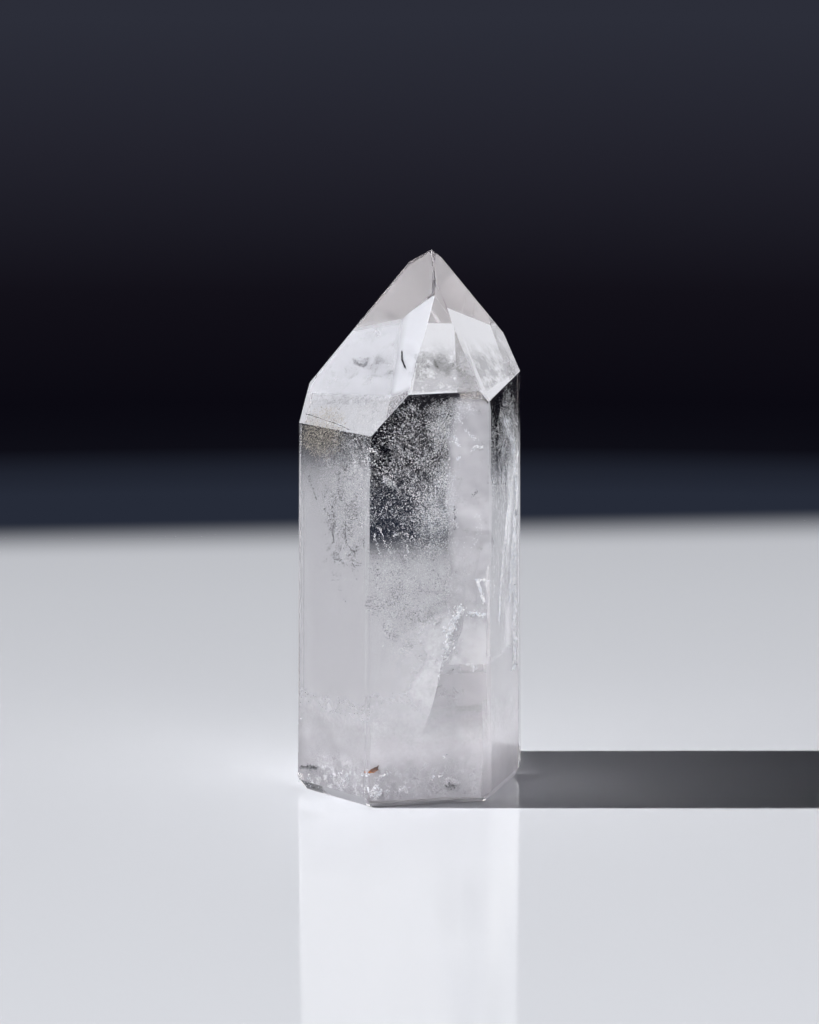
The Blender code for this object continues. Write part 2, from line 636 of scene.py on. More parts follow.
def inclusion(name, pale, dark, patch, roughness=0.45):
    """A mineral grain or cavity wall inside quartz: half gloss, in two tones that drift from grain
    to grain, partly the grains' own colour and partly painted highlight and painted shade, so that
    some seem to catch the light and some don't. patch is in millimetres."""
    material, tree, output = new_material(name)
    place = add_node(tree, "ShaderNodeTexCoord")
    drift = add_node(
        tree,
        "ShaderNodeTexNoise",
        Vector=place.outputs["Object"],
        Scale=1 / (patch * MM),
        Detail=3.0,
    )
    tone = add_node(tree, "ShaderNodeValToRGB", Fac=drift.outputs[0])
    tone.color_ramp.elements[0].position = 0.40
    tone.color_ramp.elements[0].color = linear(dark)
    tone.color_ramp.elements[1].position = 0.60
    tone.color_ramp.elements[1].color = linear(pale)
    body = add_node(
        tree,
        "ShaderNodeBsdfPrincipled",
        Base_Color=tone.outputs[0],
        Roughness=roughness,
    )
    tree.links.new(body.outputs[0], output.inputs["Surface"])
    return material


snow = inclusion("fluid-filled cavities in quartz", "#ffffff", "#8e959f", patch=0.15)
SNOW_MIDDLE = (-0.3, -2.0, 48.5)
SNOW_REACH = (11.0, 8.0, 20.0)
dust = grow(
    snow, seed=1, count=170000, centre=SNOW_MIDDLE, reach=SNOW_REACH,
    finest=0.02, coarsest=0.055, patch=5.0, bareness=0.515,
)
folds = grow(
    snow, seed=6, count=130000, centre=SNOW_MIDDLE, reach=SNOW_REACH,
    finest=0.022, coarsest=0.065, patch=8.0, bareness=0.48, folded=1.0,
)
grains = grow(
    snow, seed=7, count=50000, centre=SNOW_MIDDLE, reach=SNOW_REACH,
    finest=0.05, coarsest=0.15, patch=3.6, bareness=0.53,
)
needles_left = grow(
    snow, seed=2, count=5000, centre=SNOW_MIDDLE, reach=SNOW_REACH,
    finest=(0.022, 0.022, 0.12), coarsest=(0.048, 0.048, 0.7), patch=3.0, bareness=0.47,
    lie=(0, 45, 0), stray=(22, 20, 20), cover=0.9,
)
needles_right = grow(
    snow, seed=3, count=5000, centre=SNOW_MIDDLE, reach=SNOW_REACH,
    finest=(0.022, 0.022, 0.12), coarsest=(0.048, 0.048, 0.7), patch=3.0, bareness=0.47,
    lie=(0, -45, 0), stray=(22, 20, 20), cover=0.9,
)
left_haze = grow(
    snow, seed=8, count=40000, centre=(-8.2, -10.6, 46.5), reach=(5.2, 4.0, 12.0),
    finest=0.02, coarsest=0.06, patch=2.2, bareness=0.38,
)
near_front = grow(
    snow, seed=9, count=60000, centre=(0.5, -13.9, 33.0), reach=(12.0, 1.6, 18.0),
    finest=0.025, coarsest=0.075, turn=(0, 0, 11), patch=2.4, bareness=0.45,
)
near_left = grow(
    snow, seed=10, count=45000, centre=(-9.4, -11.0, 45.0), reach=(7.5, 1.3, 17.0),
    finest=0.025, coarsest=0.07, turn=(0, 0, -45.3), patch=2.4, bareness=0.46,
)
gather(
    "snow_specks",
    (dust, folds, grains, needles_left, needles_right, left_haze, near_front, near_left),
    snow,
)


# The milky patch
# Where the cavities are finest and closest, right of the middle and behind the right face, they
# merge into a white haze. A few coarser ones in it still show one by one.

haze = inclusion("dense fluid cavities in quartz", "#ffffff", "#d4dae2", patch=0.8)
gather(
    "milky_patch",
    (
        grow(
            haze, seed=4, count=50000, centre=(5.2, -4.0, 47.5), reach=(4.6, 6.0, 11.5),
            finest=0.022, coarsest=0.055, patch=2.0, bareness=0.38,
        ),
        grow(
            haze, seed=5, count=420, centre=(8.6, -8.0, 53.4), reach=(2.4, 3.0, 2.2),
            finest=0.05, coarsest=0.16, bareness=0.25,
        ),
        grow(
            haze, seed=9, count=20000, centre=(4.6, -8.9, 56.0), reach=(4.0, 3.0, 4.6),
            finest=0.022, coarsest=0.055, patch=1.6, bareness=0.34,
        ),
        grow(
            haze, seed=10, count=5000, centre=(4.0, -8.7, 54.0), reach=(2.6, 1.4, 3.4),
            finest=0.025, coarsest=0.06, patch=1.2, bareness=0.32,
        ),
        grow(
            haze, seed=11, count=5000, centre=(3.3, -8.8, 41.3), reach=(2.6, 1.4, 3.0),
            finest=0.025, coarsest=0.06, patch=1.2, bareness=0.32,
        ),
        grow(
            haze, seed=12, count=1800, centre=(-3.6, -11.3, 47.8), reach=(0.8, 0.9, 3.4),
            finest=0.025, coarsest=0.07, patch=1.2, bareness=0.36, turn=(0, -50, 0),
        ),
        grow(
            haze, seed=17, count=30000, centre=(2.6, -8.4, 41.0), reach=(4.0, 2.4, 7.5),
            finest=0.022, coarsest=0.06, patch=1.8, bareness=0.40,
        ),
        grow(
            haze, seed=14, count=9000, centre=(5.6, -11.5, 44.0), reach=(2.0, 1.4, 9.0),
            finest=0.025, coarsest=0.07, patch=1.5, bareness=0.42,
        ),
        grow(
            haze, seed=15, count=9000, centre=(6.0, -11.6, 58.0), reach=(4.4, 1.6, 3.4),
            finest=0.025, coarsest=0.07, patch=1.5, bareness=0.42,
        ),
        grow(
            haze, seed=16, count=45000, centre=(13.6, -3.8, 52.0), reach=(1.1, 7.5, 12.0),
            finest=0.03, coarsest=0.09, turn=(0, 0, -18.5), patch=1.6, bareness=0.40,
        ),
        grow(
            haze, seed=13, count=3500, centre=(4.6, -8.6, 47.6), reach=(2.2, 1.2, 3.2),
            finest=0.025, coarsest=0.06, patch=1.2, bareness=0.36,
        ),
    ),
    haze,
)


# The pepper
# Thin dark mineral flakes that settled on the crystal as it grew, and painted shade: dark specks
# for cavities that face away from the light. They lie in loose strings under the left face, and a
# fine dust under the left and front faces.


def flake_line(points, count, stray, length, width, seed, along):
    """Thin eight-sided flakes strewn along a line of points, all in millimetres: 1 for along lays
    each one in the line, and 0 turns it any way."""
    drawn = random.Random(seed)
    shape = bmesh.new()
    for _ in range(count):
        at = drawn.random() * (len(points) - 1)
        low = min(int(at), len(points) - 2)
        start = Vector(points[low])
        end = Vector(points[low + 1])
        middle = start.lerp(end, at - low)
        middle += Vector([drawn.gauss(0, stray) for _ in range(3)])
        way = (end - start).normalized() * along
        way += Vector([drawn.uniform(-1, 1) for _ in range(3)]) * (1 - along)
        way.normalize()
        side = way.cross(Vector([drawn.uniform(-1, 1) for _ in range(3)])).normalized()
        thin = way.cross(side).normalized()
        long_half = way * drawn.uniform(*length) / 2
        wide_half = side * drawn.uniform(*width) / 2
        thin_half = thin * drawn.uniform(*width) / 6
        tips = [
            shape.verts.new((middle + offset) * MM)
            for offset in (long_half, wide_half, -long_half, -wide_half, thin_half, -thin_half)
        ]
        for turn in range(4):
            shape.faces.new((tips[turn], tips[(turn + 1) % 4], tips[4]))
            shape.faces.new((tips[(turn + 1) % 4], tips[turn], tips[5]))
    bmesh.ops.recalc_face_normals(shape, faces=shape.faces[:])
    mesh = bpy.data.meshes.new("flakes")
    shape.to_mesh(mesh)
    shape.free()
    return mesh


# The dark specks are partly mineral flakes and partly painted shade.
pepper = inclusion("dark mineral flakes and painted shade in quartz", "#3c3d43", "#15161a", patch=0.4, roughness=0.4)
PEPPER_STRINGS = (  # the points that each string runs through, and how many flakes it has
    (((-14.8, -6.7, 47.5), (-14.1, -7.5, 45.8), (-13.5, -8.1, 44.2)), 50),
    (((-12.3, -9.3, 43.2), (-12.2, -9.4, 42.6)), 14),
    (((-11.2, -10.4, 43.8), (-10.8, -10.8, 41.7), (-11.1, -10.6, 39.7), (-10.9, -10.7, 38.7),
      (-11.7, -10.0, 37.1)), 130),
    (((-9.3, -12.3, 42.0), (-9.15, -12.5, 39.8), (-9.0, -12.7, 38.3), (-7.7, -14.0, 37.4)), 100),
    (((-9.0, -12.5, 50.0), (-9.3, -12.25, 48.8)), 36),
    (((-10.1, -11.5, 49.0), (-10.3, -11.3, 46.5), (-9.9, -11.7, 44.5)), 60),
    (((-6.3, -15.1, 52.9), (-6.6, -14.85, 51.5)), 26),
    (((-6.45, -15.1, 39.6), (-6.5, -15.05, 38.4)), 20),
    (((6.95, -13.5, 20.2), (6.05, -13.65, 20.0), (5.45, -13.75, 19.6)), 24),
    (((9.65, -13.05, 46.4), (9.05, -13.15, 45.6)), 22),
    (((6.3, -13.6, 44.2), (6.4, -13.6, 42.5), (6.3, -13.6, 40.7)), 56),
)
pepper_strings = [
    flake_line(
        points, count, stray=0.12, length=(0.08, 0.36), width=(0.06, 0.19), seed=20 + i, along=0.4
    )
    for i, (points, count) in enumerate(PEPPER_STRINGS)
]
thin_string = flake_line(
    [(-11.55, -9.7, 35.3), (-10.8, -10.4, 33.1), (-10.1, -11.2, 31.7), (-9.0, -12.3, 29.6)],
    count=26, stray=0.22, length=(0.08, 0.3), width=(0.06, 0.18), seed=19, along=0.3,
)
left_pepper = grow(
    pepper, seed=40, count=70000, centre=(-9.7, -12.1, 43.0), reach=(7.5, 1.1, 19.0),
    finest=0.035, coarsest=0.11, turn=(0, 0, -45.3), patch=2.2, bareness=0.50,
)
front_pepper = grow(
    pepper, seed=41, count=60000, centre=(-0.5, -14.6, 34.0), reach=(12.0, 1.0, 18.0),
    finest=0.03, coarsest=0.085, turn=(0, 0, 11), patch=2.2, bareness=0.48,
)
gather("pepper", (*pepper_strings, thin_string, left_pepper, front_pepper), pepper)


# The smoky corner
# Under the left shoulder the specks are brown and dark, as if a breath of smoke had grown in, with
# a few fine needles among them.

smoke = inclusion("smoky specks in quartz", "#e0d8ca", "#38322b", patch=0.25, roughness=0.5)
gather(
    "smoky_corner",
    (
        grow(
            smoke, seed=50, count=11000, centre=(-11.8, -5.6, 53.4), reach=(5.0, 6.0, 4.4),
            finest=0.035, coarsest=0.10, patch=2.0, bareness=0.32,
        ),
        grow(
            smoke, seed=51, count=900, centre=(-11.8, -5.6, 53.4), reach=(5.0, 6.0, 4.2),
            finest=(0.02, 0.02, 0.1), coarsest=(0.05, 0.05, 0.5), bareness=0.2, lie=(0, 40, 0),
            stray=(15, 20, 20), cover=0.6,
        ),
    ),
    smoke,
)


# The veils
# Old cracks that healed while the crystal grew: thin, gently bent sheets of tiny cavities, white
# where they are dense and clear where the crystal closed again.

LONG_WAVE = 5.0  # millimetres, of the bend in a sheet
SHORT_WAVE = 1.3  # and of the finer one on top of it
SHORT_SHARE = 0.3
SHEET_SEED = 4
noise.seed_set(SHEET_SEED)  # or the sheets would wave in another way in every run


def healed_veil(name, colour, cover, patch, fades, bare, full):
    """A sheet of fine cavities, white and cloudy: it hides what is behind it by up to cover. It is
    clear where the noise is under bare, and densest where it is over full. fades says how much of
    the sheet's width and height thins out at its left, right, foot and top."""
    material, tree, output = new_material(name)
    place = add_node(tree, "ShaderNodeTexCoord")
    cloud = add_node(
        tree,
        "ShaderNodeTexNoise",
        Vector=place.outputs["Object"],
        Scale=1 / (patch * MM),
        Detail=8.0,
        Roughness=0.72,
    )
    dense = add_node(
        tree,
        "ShaderNodeMapRange",
        {"interpolation_type": "SMOOTHSTEP"},
        i0=cloud.outputs[0],
        i1=bare,
        i2=full,
        i3=0.0,
        i4=cover,
    ).outputs[0]
    across = add_node(tree, "ShaderNodeSeparateXYZ", Vector=place.outputs["UV"])
    for axis, low, high in (("X", fades[0], fades[1]), ("Y", fades[2], fades[3])):
        for width, start, end in ((low, 0.0, low), (high, 1.0, 1.0 - high)):
            if width:
                edge = add_node(
                    tree,
                    "ShaderNodeMapRange",
                    {"interpolation_type": "SMOOTHSTEP"},
                    i0=across.outputs[axis],
                    i1=start,
                    i2=end,
                )
                dense = add_node(
                    tree,
                    "ShaderNodeMath",
                    {"operation": "MULTIPLY"},
                    i0=dense,
                    i1=edge.outputs[0],
                ).outputs[0]
    body = add_node(
        tree,
        "ShaderNodeBsdfPrincipled",
        Base_Color=linear(colour),
        Roughness=0.5,
        Alpha=dense,
    )
    tree.links.new(body.outputs[0], output.inputs["Surface"])
    return material


def veil_sheet(left, right, steps, ripple, seed):
    """A bent sheet between two edges, each a list of points in millimetres from foot to top. steps
    is how many squares it has across and up, and ripple is how far it waves."""
    rows = []
    count = steps[1]
    for row in range(count + 1):
        ends = []
        for edge in (left, right):
            at = row / count * (len(edge) - 1)
            low = min(int(at), len(edge) - 2)
            ends.append(Vector(edge[low]).lerp(Vector(edge[low + 1]), at - low))
        rows.append(ends)
    shape = bmesh.new()
    layer = shape.loops.layers.uv.new("sheet")
    grid = []
    places = {}
    for row, (start, end) in enumerate(rows):
        line = []
        for column in range(steps[0] + 1):
            point = start.lerp(end, column / steps[0])
            bend = noise.noise_vector(point / LONG_WAVE + Vector((seed, 0, 0))) * ripple
            fine = noise.noise_vector(point / SHORT_WAVE + Vector((0, seed, 0)))
            bend += fine * ripple * SHORT_SHARE
            vert = shape.verts.new((point + bend) * MM)
            places[vert] = (column / steps[0], row / count)
            line.append(vert)
        grid.append(line)
    for row in range(count):
        for column in range(steps[0]):
            corners = (
                grid[row][column],
                grid[row][column + 1],
                grid[row + 1][column + 1],
                grid[row + 1][column],
            )
            face = shape.faces.new(corners)
            face.smooth = True
            for loop in face.loops:
                loop[layer].uv = places[loop.vert]
    mesh = bpy.data.meshes.new("veil")
    shape.to_mesh(mesh)
    shape.free()
    return mesh


def add_veil(name, mesh, material):
    piece = add_piece(name, mesh, material)
    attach(piece, "root")
    return piece


# The hidden right-back face is backed by the densest veil, which shows as the pale strip along
# the right side of the front face.
add_veil(
    "right_back_veil",
    veil_sheet(
        left=[(15.1, 1.6, 3.0), (15.2, 1.8, 30.0), (15.1, 1.8, 50.0)],
        right=[(5.8, 13.6, 3.0), (5.8, 13.7, 30.0), (5.7, 13.6, 50.0)],
        steps=(16, 60), ripple=0.15, seed=3,
    ),
    healed_veil(
        "dense healed veil in quartz", "#dddde0", cover=0.93, patch=9.0,
        fades=(0.0, 0.0, 0.03, 0.22), bare=0.0, full=0.45,
    ),
)

# The lower half is milky right up to its sides, with cavities too fine to see one by one: faint at
# half height, dense at the foot, and a little greyer towards the base.
MILKY_CLOUD = 4.0 * MM
MILKY_GRAIN = 0.4 * MM
CLOUD_LIFT = 2.5 * MM  # how far the clouds push the level of the milkiness up and down
GRAIN_LIFT = 0.8 * MM  # and the grain, which keeps its border from being a line
MILKY_FOOT = 0.97  # how much is hidden at the table
MILKY_STEPS = ((6.4, 0.95), (16, 0.36))  # how much at these heights, in millimetres
MILKY_LAST = (10, 0.25)  # and this far below the top of the milkiness
MILKY_GREY = (1.0 * MM, 8.0 * MM)  # between these heights the foot's colour turns to the top's
MILKY_MOTTLE = (0.86, 1.12)  # the clouds are this much darker and lighter


def milky_quartz(name, foot, top, height):
    """Milky quartz: a soft grey-white that is dense at the foot and thins out upwards."""
    material, tree, output = new_material(name)
    place = add_node(tree, "ShaderNodeTexCoord")
    split = add_node(tree, "ShaderNodeSeparateXYZ", Vector=place.outputs["Object"])
    cloud = add_node(
        tree,
        "ShaderNodeTexNoise",
        Vector=place.outputs["Object"],
        Scale=1 / MILKY_CLOUD,
        Detail=5.0,
        Roughness=0.6,
    )
    lift = add_node(
        tree,
        "ShaderNodeMapRange",
        i0=cloud.outputs[0],
        i1=0.3,
        i2=0.7,
        i3=-CLOUD_LIFT,
        i4=CLOUD_LIFT,
    )
    grain = add_node(
        tree,
        "ShaderNodeTexNoise",
        Vector=place.outputs["Object"],
        Scale=1 / MILKY_GRAIN,
        Detail=3.0,
    )
    ragged = add_node(
        tree,
        "ShaderNodeMapRange",
        i0=grain.outputs[0],
        i1=0.3,
        i2=0.7,
        i3=-GRAIN_LIFT,
        i4=GRAIN_LIFT,
    )
    drift = add_node(
        tree, "ShaderNodeMath", {"operation": "ADD"}, i0=lift.outputs[0], i1=ragged.outputs[0]
    )
    level = add_node(
        tree, "ShaderNodeMath", {"operation": "ADD"}, i0=split.outputs["Z"], i1=drift.outputs[0]
    )
    low = add_node(tree, "ShaderNodeMapRange", i0=level.outputs[0], i1=0.0, i2=height * MM)
    dense = add_node(tree, "ShaderNodeValToRGB", Fac=low.outputs[0])
    dense.color_ramp.interpolation = "EASE"
    steps = dense.color_ramp.elements
    steps[0].color = (MILKY_FOOT, MILKY_FOOT, MILKY_FOOT, 1)
    steps[1].color = (0, 0, 0, 1)
    for rise, value in MILKY_STEPS:
        steps.new(rise / height).color = (value, value, value, 1)
    drop, value = MILKY_LAST
    steps.new(1 - drop / height).color = (value, value, value, 1)
    share = add_node(
        tree, "ShaderNodeMapRange", i0=split.outputs["Z"], i1=MILKY_GREY[0], i2=MILKY_GREY[1]
    )
    colour = add_node(tree, "ShaderNodeValToRGB", Fac=share.outputs[0])
    stops = colour.color_ramp.elements
    stops[0].color = linear(foot)
    stops[1].color = linear(top)
    shade = add_node(
        tree,
        "ShaderNodeMapRange",
        i0=cloud.outputs[0],
        i1=0.3,
        i2=0.7,
        i3=MILKY_MOTTLE[0],
        i4=MILKY_MOTTLE[1],
    )
    mottled = add_node(
        tree,
        "ShaderNodeVectorMath",
        {"operation": "SCALE"},
        i0=colour.outputs[0],
        Scale=shade.outputs[0],
    )
    body = add_node(
        tree,
        "ShaderNodeBsdfPrincipled",
        Base_Color=mottled.outputs[0],
        Roughness=0.6,
        Alpha=dense.outputs[0],
    )
    tree.links.new(body.outputs[0], output.inputs["Surface"])
    return material


# Each side's two edges on the plan, the colours at its foot and top, and how high it reaches.
# The colours differ from side to side as painted light and shade: the right side is painted
# lighter at the top and darker at the foot, and the left side darker at the top.
MILKY_SIDES = {
    "left": ((-15.3, -5.0), (-6.0, -14.2), "#a6a4aa", "#b1b0b5", 56.0),
    "front": ((-6.0, -14.2), (10.4, -11.2), "#a5a3a9", "#c5c4c9", 40.0),
    "right": ((10.4, -11.2), (14.9, 2.4), "#939197", "#d6d5da", 40.0),
}
for side, (near, far, foot, top, height) in MILKY_SIDES.items():
    add_veil(
        f"milky_foot_{side}",
        veil_sheet(
            left=[(*near, 0.5), (*near, height)],
            right=[(*far, 0.5), (*far, height)],
            steps=(30, 70), ripple=0.25, seed=31,
        ),
        milky_quartz(f"milky quartz, {side} side", foot, top, height),
    )

# A narrow sheet carries the milkiness on to the left edge, above the bevel.
add_veil(
    "milky_edge_left",
    veil_sheet(
        left=[(-16.02, -4.15, 2.2), (-15.66, -4.1, 45.0)],
        right=[(-15.2, -5.0, 2.2), (-14.9, -4.9, 45.0)],
        steps=(4, 70), ripple=0.04, seed=32,
    ),
    milky_quartz("milky quartz, left edge", "#a6a4aa", "#b1b0b5", 56.0),
)

# The right third of the front is milky from close under the face, with a ragged left border.
add_veil(
    "front_right_veil",
    veil_sheet(
        left=[
            (5.0, -8.3, 19.0), (4.2, -8.4, 30.0), (3.8, -8.4, 42.0), (4.2, -9.6, 54.0),
            (4.8, -10.8, 61.0),
        ],
        right=[
            (11.3, -12.0, 19.0), (11.4, -12.0, 30.0), (11.4, -12.0, 42.0), (11.3, -12.1, 54.0),
            (10.3, -12.0, 60.0),
        ],
        steps=(20, 80), ripple=0.9, seed=11,
    ),
    healed_veil(
        "milky veil in quartz", "#c3c3c8", cover=0.95, patch=2.0, fades=(0.36, 0.0, 0.25, 0.08),
        bare=0.12, full=0.46,
    ),
)

# Under the ridge between the left and the front facet of the point lies a bright sheet, and a grey
# mottled one spreads under the lower half of the point.
add_veil(
    "ridge_veil",
    veil_sheet(
        left=[(-3.6, -13.4, 59.1), (-3.0, -10.4, 62.6), (-2.6, -7.2, 66.1), (-2.2, -3.8, 69.6)],
        right=[(-0.2, -15.1, 60.6), (1.0, -11.7, 65.0), (2.35, -8.1, 69.5), (3.5, -4.8, 73.6)],
        steps=(14, 50), ripple=0.03, seed=13,
    ),
    healed_veil(
        "bright sheet in quartz", "#babcc2", cover=0.97, patch=4.0, fades=(0.45, 0.0, 0.1, 0.0),
        bare=0.0, full=0.3,
    ),
)
add_veil(
    "tip_veil",
    veil_sheet(
        left=[(-7.9, 0.3, 68.4), (-4.1, 1.3, 72.9), (-0.1, 2.3, 77.5), (2.8, 1.6, 79.4)],
        right=[(-1.1, -4.3, 70.2), (3.2, -4.6, 73.9), (3.4, -1.4, 77.1), (3.1, 1.2, 79.3)],
        steps=(14, 50), ripple=0.01, seed=17,
    ),
    healed_veil(
        "thin sheet under the tip", "#a2a0a2", cover=0.6, patch=4.0, fades=(0.0, 0.0, 0.0, 0.0),
        bare=0.0, full=0.3,
    ),
)
add_veil(
    "point_veil_bright",
    veil_sheet(
        left=[(-15.3, -2.5, 58.7), (-13.4, -1.1, 61.6), (-8.4, 0.4, 67.8)],
        right=[(-2.4, -14.2, 59.2), (-1.7, -9.2, 64.7), (-1.4, -4.4, 69.5)],
        steps=(20, 40), ripple=0.05, seed=18,
    ),
    healed_veil(
        "bright sheet under the left facet", "#c2c4cb", cover=0.45, patch=3.0,
        fades=(0.0, 0.0, 0.1, 0.0), bare=0.0, full=0.5,
    ),
)
add_veil(
    "point_veil_left",
    veil_sheet(
        left=[(-15.0, -4.2, 57.0), (-13.0, -2.0, 61.2), (-11.8, 1.8, 65.8)],
        right=[(-3.3, -14.6, 58.0), (-1.4, -12.0, 61.9), (-1.0, -7.6, 66.6)],
        steps=(40, 50), ripple=0.25, seed=14,
    ),
    healed_veil(
        "mottled veil in quartz", "#92939a", cover=0.5, patch=3.0, fades=(0.05, 0.0, 0.1, 0.8),
        bare=0.42, full=0.66,
    ),
)
add_veil(
    "point_veil_front",
    veil_sheet(
        left=[(0.2, -14.5, 60.5), (1.2, -11.0, 65.0), (1.9, -8.6, 68.0)],
        right=[(10.0, -12.7, 60.5), (8.6, -9.8, 65.0), (7.2, -7.2, 68.6)],
        steps=(30, 40), ripple=0.25, seed=15,
    ),
    healed_veil(
        "mottled veil in quartz, front", "#77777d", cover=0.85, patch=2.6,
        fades=(0.0, 0.0, 0.05, 0.75), bare=0.33, full=0.60,
    ),
)
add_veil(
    "point_veil_right",
    veil_sheet(
        left=[(10.6, -11.6, 60.2), (8.9, -9.2, 65.0), (7.4, -6.8, 68.4)],
        right=[(15.4, 0.9, 61.6), (14.2, 2.3, 64.0), (13.1, 3.3, 66.2)],
        steps=(30, 40), ripple=0.25, seed=16,
    ),
    healed_veil(
        "mottled veil in quartz, right", "#7d7d83", cover=0.85, patch=2.6,
        fades=(0.0, 0.05, 0.05, 0.7), bare=0.34, full=0.60,
    ),
)


# The slanting fracture
# A healed crack that runs down through the lower right of the front face. Its right edge is sharp
# and ragged, with bright flakes at the top, and its sheet thins out to the left.

FRACTURE_EDGE = [
    (1.5, -14.2, 9.7),
    (2.2, -14.1, 11.6),
    (3.0, -14.0, 14.5),
    (3.8, -13.9, 17.4),
    (4.3, -13.8, 19.8),
    (4.9, -13.7, 21.9),
    (5.6, -13.6, 25.7),
    (6.6, -13.4, 27.7),
    (7.3, -13.3, 29.3),
]
add_veil(
    "fracture_veil",
    veil_sheet(
        left=[(x - 9.0, y - 1.2, z) for x, y, z in FRACTURE_EDGE],
        right=FRACTURE_EDGE,
        steps=(24, 60), ripple=0.35, seed=5,
    ),
    healed_veil(
        "healed crack in quartz", "#e8e8ec", cover=0.66, patch=3.0, fades=(1.0, 0.0, 0.4, 0.2),
        bare=0.0, full=0.7,
    ),
)
# A grey sheet below the crack, right of its edge, is painted shade: it darkens the quartz there.
add_veil(
    "fracture_shade",
    veil_sheet(
        left=[(1.7, -13.8, 9.0), (3.1, -13.7, 14.5), (4.5, -13.5, 20.8)],
        right=[(11.1, -12.1, 9.0), (11.1, -12.1, 14.5), (11.1, -12.1, 20.6)],
        steps=(24, 40), ripple=0.22, seed=8,
    ),
    healed_veil(
        "painted shade beside the crack", "#a9a7ac", cover=0.48, patch=4.0,
        fades=(0.0, 0.0, 0.6, 0.12), bare=0.0, full=0.5,
    ),
)
add_veil(
    "upper_crack_veil",
    veil_sheet(
        left=[(5.2, -13.3, 20.6), (7.4, -12.9, 26.0), (7.8, -12.8, 37.0)],
        right=[(11.2, -12.2, 20.6), (11.2, -12.2, 26.0), (11.1, -12.2, 37.0)],
        steps=(16, 40), ripple=0.3, seed=6,
    ),
    healed_veil(
        "healed crack in quartz, upper", "#d9d9dd", cover=0.5, patch=5.0,
        fades=(0.1, 0.05, 0.0, 0.5), bare=0.1, full=0.6,
    ),
)
bright = inclusion("open crack walls in quartz", "#ffffff", "#dfe3ea", patch=0.5, roughness=0.2)
gather(
    "fracture_flakes",
    (
        flake_line(
            FRACTURE_EDGE[5:],
            count=260, stray=0.34, length=(0.2, 0.8), width=(0.10, 0.4), seed=1, along=0.4,
        ),
        flake_line(
            [(5.0, -13.7, 26.2), (5.4, -13.6, 25.6)],
            count=60, stray=0.3, length=(0.2, 0.6), width=(0.10, 0.35), seed=101, along=0.3,
        ),
        flake_line(
            FRACTURE_EDGE[3:6],
            count=30, stray=0.12, length=(0.15, 0.4), width=(0.05, 0.14), seed=2, along=0.7,
        ),
        flake_line(
            [(9.6, -12.9, 33.3), (10.1, -12.8, 31.8), (10.7, -12.7, 29.9)],
            count=130, stray=0.10, length=(0.2, 0.7), width=(0.10, 0.3), seed=3, along=0.7,
        ),
        flake_line(
            [(9.6, -12.9, 33.2), (11.2, -12.5, 33.2)],
            count=50, stray=0.10, length=(0.2, 0.6), width=(0.08, 0.24), seed=103, along=0.6,
        ),
        flake_line(
            [(8.3, -13.1, 28.3), (9.2, -12.9, 28.4), (10.1, -12.8, 28.0), (11.3, -12.5, 28.1)],
            count=110, stray=0.15, length=(0.15, 0.5), width=(0.10, 0.3), seed=4, along=0.3,
        ),
        flake_line(
            [(8.5, -13.0, 20.6), (9.4, -12.9, 20.2)],
            count=40, stray=0.3, length=(0.15, 0.5), width=(0.08, 0.26), seed=104, along=0.3,
        ),
        flake_line(
            [(9.3, -9.0, 55.0), (7.4, -9.2, 52.0), (8.6, -9.0, 50.6), (6.4, -9.0, 45.0)],
            count=60, stray=0.7, length=(0.1, 0.4), width=(0.06, 0.22), seed=5, along=0.2,
        ),
    ),
    bright,
)


# The sparkles under the front face
# Short strings of open cavities just behind the front face catch the light one by one: thin loose
# lines down the left of the clear window, and bright nests in the milky strip on its right.

gather(
    "window_sparkles",
    (
        grow(
            bright, seed=140, count=9000, centre=(-0.8, -12.6, 47.5), reach=(10.0, 2.6, 19.0),
            finest=0.05, coarsest=0.15, turn=(0, 0, 11), patch=3.0, bareness=0.47,
        ),
        flake_line(
            [(-5.2, -15.4, 40.6), (-5.14, -15.4, 39.6), (-4.7, -15.3, 38.2), (-4.3, -15.2, 36.9)],
            count=44, stray=0.1, length=(0.08, 0.34), width=(0.05, 0.18), seed=141, along=0.6,
        ),
        flake_line(
            [(-4.4, -15.2, 41.4), (-4.2, -15.2, 40.4), (-3.4, -15.1, 38.3), (-2.2, -14.8, 36.8)],
            count=54, stray=0.1, length=(0.08, 0.34), width=(0.05, 0.18), seed=142, along=0.6,
        ),
        flake_line(
            [(-0.4, -14.5, 40.4), (-0.7, -14.5, 38.9), (-0.2, -14.4, 37.6)],
            count=34, stray=0.12, length=(0.08, 0.34), width=(0.05, 0.18), seed=143, along=0.6,
        ),
        flake_line(
            [(-2.5, -14.8, 40.5), (-2.1, -14.8, 40.1), (-1.6, -14.7, 40.4)],
            count=26, stray=0.16, length=(0.1, 0.36), width=(0.08, 0.26), seed=144, along=0.3,
        ),
        flake_line(
            [(-5.6, -15.5, 52.9), (-5.0, -15.4, 52.4), (-4.5, -15.3, 51.7)],
            count=44, stray=0.14, length=(0.08, 0.26), width=(0.05, 0.2), seed=145, along=0.3,
        ),
        flake_line(
            [(2.4, -13.6, 49.6), (3.5, -13.5, 48.2), (4.7, -13.3, 46.6)],
            count=22, stray=0.32, length=(0.5, 1.3), width=(0.03, 0.07), seed=146, along=0.96,
        ),
        flake_line(
            [(1.8, -13.7, 47.6), (3.8, -13.4, 45.4)],
            count=12, stray=0.35, length=(0.5, 1.2), width=(0.03, 0.06), seed=147, along=0.96,
        ),
    ),
    bright,
)
